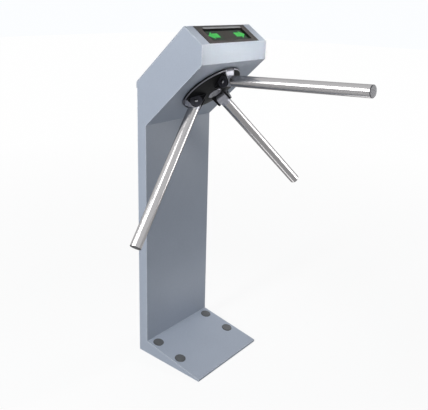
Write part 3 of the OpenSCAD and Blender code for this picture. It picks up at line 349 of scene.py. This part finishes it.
def smoked_window():
    """Smoked acrylic, with the lit arrows' glow painted into its colour near them."""
    dark, brown, painted_glow = (0.014, 0.011, 0.006), (0.034, 0.026, 0.014), (0.003, 0.040, 0.010)
    glow_end, glow_full = 0.042, 0.022
    g = Graph("smoked_window")
    smear = g.noise(g.place((1.0, 4.0, 1.0)), scale=30.0, detail=4.0)
    colour = g.blend(smear, dark, brown)
    point = g.point()
    # Painted glow: the glass's colour turns green near each arrow's middle, standing in for the arrows'
    # light on it
    for side in (-1.0, 1.0):
        away = g.measure("DISTANCE", point, on_display(ARROW_ALONG, side * ARROW_AT, GLASS_TOP))
        colour = g.blend(g.rise(away, glow_end, glow_full), colour, painted_glow)
    g.set(Base_Color=colour, Roughness=g.span(smear, 0.08, 0.18, 0.3, 0.7))
    g.set(Transmission_Weight=0.15, IOR=1.49, Specular_IOR_Level=0.06)
    return g.material


def lit_green():
    """Green light guide, brighter and yellower in its middle."""
    lamp_light, far_light = (0.16, 0.66, 0.10), (0.03, 0.42, 0.07)
    dark_guide, pale_guide = (0.02, 0.30, 0.05), (0.05, 0.42, 0.08)
    g = Graph("lit_green")
    lamps = g.add("ShaderNodeTexVoronoi", {"Vector": g.place(), "Scale": 110.0}).outputs["Distance"]
    broad = g.noise(g.place(), scale=60.0, detail=2.0)
    g.set(Base_Color=g.blend(broad, dark_guide, pale_guide), Roughness=0.4, Specular_IOR_Level=0.1)
    g.set(Emission_Color=g.blend(g.rise(lamps, 0.0, 0.7), lamp_light, far_light), Emission_Strength=0.34)
    return g.material


def metal(name, colour, rough=(0.28, 0.42), grain=260.0, shine=1.0):
    """Machined or plated metal with a fine random texture."""
    g = Graph(name)
    place = g.place()
    fine = g.noise(place, scale=grain, detail=4.0, roughness=0.6)
    broad = g.noise(place, scale=35.0, detail=3.0)
    darker = tuple(0.8 * c for c in colour)
    g.set(Base_Color=g.blend(g.rise(broad, 0.3, 0.7), darker, colour), Metallic=shine)
    g.set(Roughness=g.span(fine, *rough), Normal=g.bump(fine, strength=0.08, distance=0.0002))
    return g.material


def circuit_board():
    """Green solder mask with faint tracks."""
    g = Graph("circuit_board")
    tracks = g.add("ShaderNodeTexBrick", {
        "Vector": g.place((60.0, 60.0, 60.0)), "Mortar Size": 0.08,
        "Color1": (0.01, 0.10, 0.04, 1), "Color2": (0.012, 0.13, 0.05, 1), "Mortar": (0.03, 0.22, 0.09, 1)})
    rough = g.span(g.noise(g.place(), scale=300.0), 0.25, 0.4)
    g.set(Base_Color=tracks.outputs["Color"], Roughness=rough)
    return g.material


# Trim of the display and buttons of the pivots


def on_display(along, across, off):
    """A point by its millimetres along the display, across it and off it."""
    return TOP_BACK + (TOP_ALONG * along + TOP_OFF * off) * MM + Vector((0.0, across * MM, 0.0))


def round_edges(piece, width, segments):
    """Small rounded edges, as folded, cast and moulded pieces have."""
    bevel = piece.modifiers.new("edges", "BEVEL")
    bevel.width = width * MM
    bevel.segments = segments
    bevel.limit_method = "ANGLE"
    bevel.angle_limit = math.radians(SHARP_DEGREES)
    bevel.use_clamp_overlap = True
    bevel.harden_normals = True
    for polygon in piece.data.polygons:
        polygon.use_smooth = True
    normals = piece.modifiers.new("normals", "WEIGHTED_NORMAL")
    normals.keep_sharp = True


def piece_from(name, points, faces, material, edge=0.0, body="stand"):
    mesh = bpy.data.meshes.new(name)
    mesh.from_pydata(points, [], faces)
    shape = bmesh.new()
    shape.from_mesh(mesh)
    bmesh.ops.recalc_face_normals(shape, faces=shape.faces)
    shape.to_mesh(mesh)
    shape.free()
    mesh.materials.append(material)
    piece = bpy.data.objects.new(name, mesh)
    bpy.context.scene.collection.objects.link(piece)
    if edge:
        round_edges(piece, edge, TRIM_SEGMENTS)
    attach(piece, body)
    return piece


def rounded_loop(back, front, half, radius, off):
    """A rectangle with round corners, at one height off the display."""
    points = []
    for corner, (along, across) in enumerate(((front, half), (back, half), (back, -half), (front, -half))):
        to_front = 1.0 if along == front else -1.0
        side = 1.0 if across > 0 else -1.0
        for step in range(CORNER_STEPS + 1):
            angle = math.radians(90.0 * (corner + step / CORNER_STEPS))
            points.append(on_display(along - radius * to_front + radius * math.cos(angle),
                                     across - radius * side + radius * math.sin(angle), off))
    return points


def band(row, next_row, count):
    """Faces between two closed rows of points, by the numbers of their first points."""
    pairs = ((k, (k + 1) % count) for k in range(count))
    return [(row + k, row + m, next_row + m, next_row + k) for k, m in pairs]


def ring(name, section, material):
    """A closed ring whose section runs through rounded rectangles."""
    loops = [rounded_loop(*corner) for corner in section]
    count = len(loops[0])
    faces = []
    for i in range(len(loops)):
        faces += band(i * count, (i + 1) % len(loops) * count, count)
    piece_from(name, [point for loop in loops for point in loop], faces, material)


def plate(name, outline, low, high, material, edge):
    """A flat plate with the given outline, between two heights off the display."""
    count = len(outline)
    points = [on_display(*place, off) for off in (low, high) for place in outline]
    faces = [tuple(range(count)), tuple(range(count, 2 * count))] + band(0, count, count)
    piece_from(name, points, faces, material, edge)


def arrow_outline(side):
    """An arrow that points away from the display's middle, towards the given side."""
    outline = [(0.0, ARROW_HALF), (ARROW_HEAD, ARROW_NECK), (ARROW_SHAFT, ARROW_NECK),
               (ARROW_SHAFT, -ARROW_HALF), (-ARROW_SHAFT, -ARROW_HALF), (-ARROW_SHAFT, ARROW_NECK),
               (-ARROW_HEAD, ARROW_NECK)]
    return [(ARROW_ALONG + along, side * (ARROW_AT + across)) for along, across in outline]


def display_trim():
    """Dark mask round the glass, a black gasket line in it that is also painted shade in the recess, the
    pale strip behind it and the lit arrows.
    """
    brown = moulded_plastic("mask_plastic", (0.036, 0.027, 0.024), rough=(0.36, 0.5), gloss=0.2)
    ring("display_mask", MASK_SECTION, brown)
    # Black gasket ring, which is also painted shade in the recess round the glass
    shade_rubber = moulded_plastic("shade_gasket_rubber", (0.004, 0.004, 0.004), rough=(0.7, 0.85), grain=1200.0,
                             strength=0.1, gloss=0.1)
    ring("display_shade_gasket", SHADE_GASKET_SECTION, shade_rubber)
    strip = [(STRIP_BACK, STRIP_LEFT), (STRIP_FRONT, STRIP_LEFT), (STRIP_FRONT, STRIP_RIGHT),
             (STRIP_BACK, STRIP_RIGHT)]
    plate("display_strip", strip, BEZEL_TOP, BEZEL_TOP + STRIP_THICK,
          metal("strip_metal", (0.28, 0.28, 0.285)), STRIP_EDGE)
    lit = lit_green()
    for name, side in (("left", -1.0), ("right", 1.0)):
        plate(f"{name}_arrow_face", arrow_outline(side), GLASS_TOP, GLASS_TOP + ARROW_THICK, lit,
              ARROW_EDGE)


def pivot_buttons():
    """A domed cap over each end of the three pivot bolts."""
    dark = metal("button_chrome", (0.30, 0.30, 0.32), rough=(0.14, 0.22))
    for letter in ARMS:
        joint = JOINTS[f"arm_{letter}_fold"]
        axis = Vector(joint["axis"]).normalized()
        across = axis.orthogonal().normalized()
        up = axis.cross(across)
        for side, end in (("head", 1.0), ("nut", -1.0)):
            foot = Vector(joint["pos_m"]) + axis * end * PIVOT_HALF * MM
            points = []
            for radius, height in BUTTON_PROFILE:
                for step in range(BUTTON_STEPS):
                    angle = math.tau * step / BUTTON_STEPS
                    spoke = across * math.cos(angle) + up * math.sin(angle)
                    points.append(foot + (spoke * radius + axis * end * height) * MM)
            top_row = len(points) - BUTTON_STEPS
            faces = [tuple(range(BUTTON_STEPS)), tuple(range(top_row, len(points)))]
            for row in range(0, top_row, BUTTON_STEPS):
                faces += band(row, row + BUTTON_STEPS, BUTTON_STEPS)
            button = piece_from(f"pivot_button_{letter}_{side}", points, faces, dark,
                                body="rotor")
            for polygon in button.data.polygons:
                polygon.use_smooth = len(polygon.vertices) == 4


# Dressing of the CAD nodes


def dress(material, *names):
    for name in names:
        mesh = NODES[name].data
        mesh.materials.clear()
        mesh.materials.append(material)


def soften(width, segments, *names):
    """Rounds the edges of CAD nodes, after flat faces are joined."""
    for name in names:
        piece = NODES[name]
        weld = piece.modifiers.new("weld", "WELD")
        weld.merge_threshold = WELD_MM * MM
        flat = piece.modifiers.new("flat", "DECIMATE")
        flat.decimate_type = "DISSOLVE"
        flat.angle_limit = math.radians(FLAT_DEGREES)
        round_edges(piece, width, segments)


def arm_direction(letter):
    """From an arm's pivot to the middle of its tube, as a unit vector."""
    pivot = Vector(JOINTS[f"arm_{letter}_fold"]["pos_m"])
    low, high = (Vector(corner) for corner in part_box(f"arm_{letter}_tube"))
    return ((low + high) / 2 - pivot).normalized()


def dress_stand():
    dress(powder_coat(), "housing", "rear_cover")
    # The caps' dark rim is painted shade along their edges, where they meet the coat
    caps = moulded_plastic("cap_plastic", (0.085, 0.09, 0.094), rim=(0.012, 0.012, 0.013))
    dress(caps, "bolt_caps")
    bezel = moulded_plastic("bezel_plastic", (0.026, 0.021, 0.020), rough=(0.36, 0.5), gloss=0.2)
    dress(bezel, "display_bezel")
    dress(smoked_window(), "display_window")
    dress(lit_green(), "arrow_lenses")
    dress(circuit_board(), "indicator_board", "control_board")
    dress(metal("nickel_plate", (0.68, 0.67, 0.65), rough=(0.12, 0.2)), "cover_lock")


def dress_hub_and_arms():
    dress(hub_enamel(), "hub")
    dress(metal("gunmetal", (0.26, 0.26, 0.29), rough=(0.22, 0.32), grain=120.0), "hub_cap")
    dress(metal("black_oxide", (0.05, 0.05, 0.055), rough=(0.3, 0.42)), "pivot_bolts", "pivot_nuts")
    knuckle = metal("knuckle_steel", (0.55, 0.55, 0.61), rough=(0.28, 0.40), grain=200.0, shine=0.5)
    plug = metal("plug_steel", (0.105, 0.105, 0.111), rough=(0.35, 0.5))
    for letter in ARMS:
        dress(satin_steel(f"arm_{letter}_steel", arm_direction(letter)), f"arm_{letter}_tube")
        dress(knuckle, f"arm_{letter}_knuckle")
        dress(plug, f"arm_{letter}_plug")


def dress_mechanism():
    zinc = metal("zinc_plate", (0.62, 0.63, 0.62))
    dress(zinc, "floor_plate", "hub_bolt", "bearing_housing", "bearing_screws", "shaft_nut",
          "chassis_plate", "chassis_spacers", "chassis_bolts", "left_pawl", "right_pawl",
          "solenoid_brackets", "sensor_brackets")
    ground = metal("ground_steel", (0.56, 0.56, 0.57), rough=(0.2, 0.34))
    dress(ground, "rotor_shaft", "front_bearing", "rear_bearing", "retaining_ring", "signal_cam",
          "gear_wheel", "lock_pins", "crank_post", "spring_post", "pawl_posts", "left_plunger",
          "right_plunger", "centring_spring")
    brass = metal("machined_brass", (0.72, 0.52, 0.22), rough=(0.2, 0.34))
    dress(brass, "centring_crank", "damper_pinion", "position_sensors", "board_standoffs")
    dress(metal("solenoid_iron", (0.20, 0.18, 0.16), rough=(0.4, 0.6)), "solenoids")
    dress(moulded_plastic("damper_body", (0.02, 0.02, 0.022)), "rotary_damper")


def soften_all():
    """Edge radii in millimetres: folded sheet, the cover, the casting and small moulded pieces."""
    soften(1.4, 3, "housing")
    soften(0.8, 2, "rear_cover")
    soften(1.0, 3, "hub")
    soften(0.3, 2, "hub_cap", "display_bezel", "bolt_caps")


# Stage, light and camera


def pale_floor():
    """White to the camera, darker to other rays, and fading into the world's white with distance."""
    light_grey, white = (0.44, 0.45, 0.46), (0.95, 0.96, 0.97)
    g = Graph("pale_floor")
    path = g.add("ShaderNodeLightPath").outputs
    g.set(Base_Color=g.blend(path["Is Camera Ray"], light_grey, white), Roughness=0.4)
    glow = g.add("ShaderNodeEmission", {"Color": (*WHITE, 1.0), "Strength": 1.0})
    fade = g.span(g.measure("LENGTH", g.point()), FLOOR_NEAR, FLOOR_FAR, FADE_START, FADE_END)
    by_camera = g.math("MULTIPLY", path["Is Camera Ray"], fade)
    mirrored = g.math("MAXIMUM", path["Is Glossy Ray"], path["Is Transmission Ray"])
    seen = g.math("MAXIMUM", by_camera, g.math("MULTIPLY", mirrored, FLOOR_MIRRORED))
    mix = g.add("ShaderNodeMixShader", {0: seen, 1: g.shader.outputs[0], 2: glow.outputs[0]})
    g.links.new(mix.outputs[0], g.nodes["Material Output"].inputs["Surface"])
    return g.material


def stage():
    """A pale floor that takes the shadow, under a white world."""
    mesh = bpy.data.meshes.new("floor")
    corners = ((-1, -1), (1, -1), (1, 1), (-1, 1))
    mesh.from_pydata([(x * FLOOR_HALF, y * FLOOR_HALF, 0.0) for x, y in corners], [], [(0, 1, 2, 3)])
    mesh.materials.append(pale_floor())
    floor = bpy.data.objects.new("floor", mesh)
    bpy.context.scene.collection.objects.link(floor)


def world():
    """A white world, with less strength as a light than where it is seen or mirrored."""
    scene_world = bpy.data.worlds.new("studio")
    bpy.context.scene.world = scene_world
    scene_world.use_nodes = True
    tree = scene_world.node_tree
    background = tree.nodes["Background"]
    path = tree.nodes.new("ShaderNodeLightPath")
    seen = path.outputs["Is Camera Ray"]
    for ray in ("Is Glossy Ray", "Is Transmission Ray"):
        either = tree.nodes.new("ShaderNodeMath")
        either.operation = "MAXIMUM"
        tree.links.new(seen, either.inputs[0])
        tree.links.new(path.outputs[ray], either.inputs[1])
        seen = either.outputs[0]
    strength = tree.nodes.new("ShaderNodeMapRange")
    tree.links.new(seen, strength.inputs["Value"])
    strength.inputs["To Min"].default_value = WORLD_LIGHT
    strength.inputs["To Max"].default_value = WORLD_SEEN
    tree.links.new(strength.outputs["Result"], background.inputs["Strength"])
    background.inputs["Color"].default_value = WORLD_COLOUR


def softbox(name, at, towards, size, power, colour=WHITE, spread=180.0, seen="both"):
    """A soft area lamp. It can light matt surfaces only, or show in reflections only."""
    data = bpy.data.lights.new(name, "AREA")
    data.shape = "RECTANGLE"
    data.size, data.size_y = size
    data.energy = power
    data.color = colour
    data.spread = math.radians(spread)
    lamp = bpy.data.objects.new(name, data)
    lamp.location = at
    lamp.visible_diffuse = seen != "gloss"
    lamp.visible_glossy = seen != "matt"
    lamp.visible_camera = False
    lamp.rotation_euler = (Vector(towards) - Vector(at)).to_track_quat("-Z", "Y").to_euler()
    bpy.context.scene.collection.objects.link(lamp)


def lights():
    """Key light on the stand's side, beams on the head's front and the base, and lines in the metal."""
    upper_stand, lower_head, mid_stand = (0.0, 0.0, 0.95), (0.1, 0.0, 0.9), (0.0, 0.0, 0.6)
    head_front, base_top, above_low = (0.13, 0.09, 0.993), (0.03, 0.0, 0.0), (0.12, 0.32, 1.0)
    softbox("side", (-0.15, -2.8, 1.85), upper_stand, size=(0.4, 1.4), power=50.0, seen="matt")
    softbox("line", (-1.2, -2.5, 1.85), upper_stand, size=(1.1, 1.4), power=55.0, seen="gloss")
    softbox("front", (1.45, 0.50, 1.00), head_front, size=(0.5, 0.05), power=0.158,
            colour=WARM_WHITE, spread=6.0)
    softbox("foot", (0.25, 1.55, 1.20), base_top, size=(0.25, 0.25), power=0.35, spread=40.0)
    softbox("high", (0.33, -1.75, 2.6), mid_stand, size=(0.8, 0.8), power=14.0, seen="gloss")
    softbox("sheen", (0.95, 1.15, 0.62), lower_head, size=(0.4, 0.8), power=6.0, seen="gloss")
    softbox("low", (0.12, 0.32, 0.02), above_low, size=(0.12, 0.5), power=0.35, seen="gloss")


def camera():
    data = bpy.data.cameras.new("camera")
    data.sensor_fit = "HORIZONTAL"
    data.sensor_width = SENSOR
    data.lens = FOCAL_PX * SENSOR / FRAME_W
    data.shift_x = (FRAME_W / 2 - CENTRE_PX[0]) / FRAME_W
    data.shift_y = (CENTRE_PX[1] - FRAME_H / 2) / FRAME_W
    shot = bpy.data.objects.new("camera", data)
    turn = Matrix((CAMERA_RIGHT, -CAMERA_DOWN, -CAMERA_AHEAD)).transposed()
    shot.matrix_world = Matrix.Translation(CAMERA_AT) @ turn.to_4x4()
    bpy.context.scene.collection.objects.link(shot)
    bpy.context.scene.camera = shot


dress_stand()
dress_hub_and_arms()
dress_mechanism()
soften_all()
display_trim()
pivot_buttons()
stage()
world()
lights()
camera()
bpy.context.scene.view_settings.view_transform = "Standard"
bpy.context.view_layer.update()
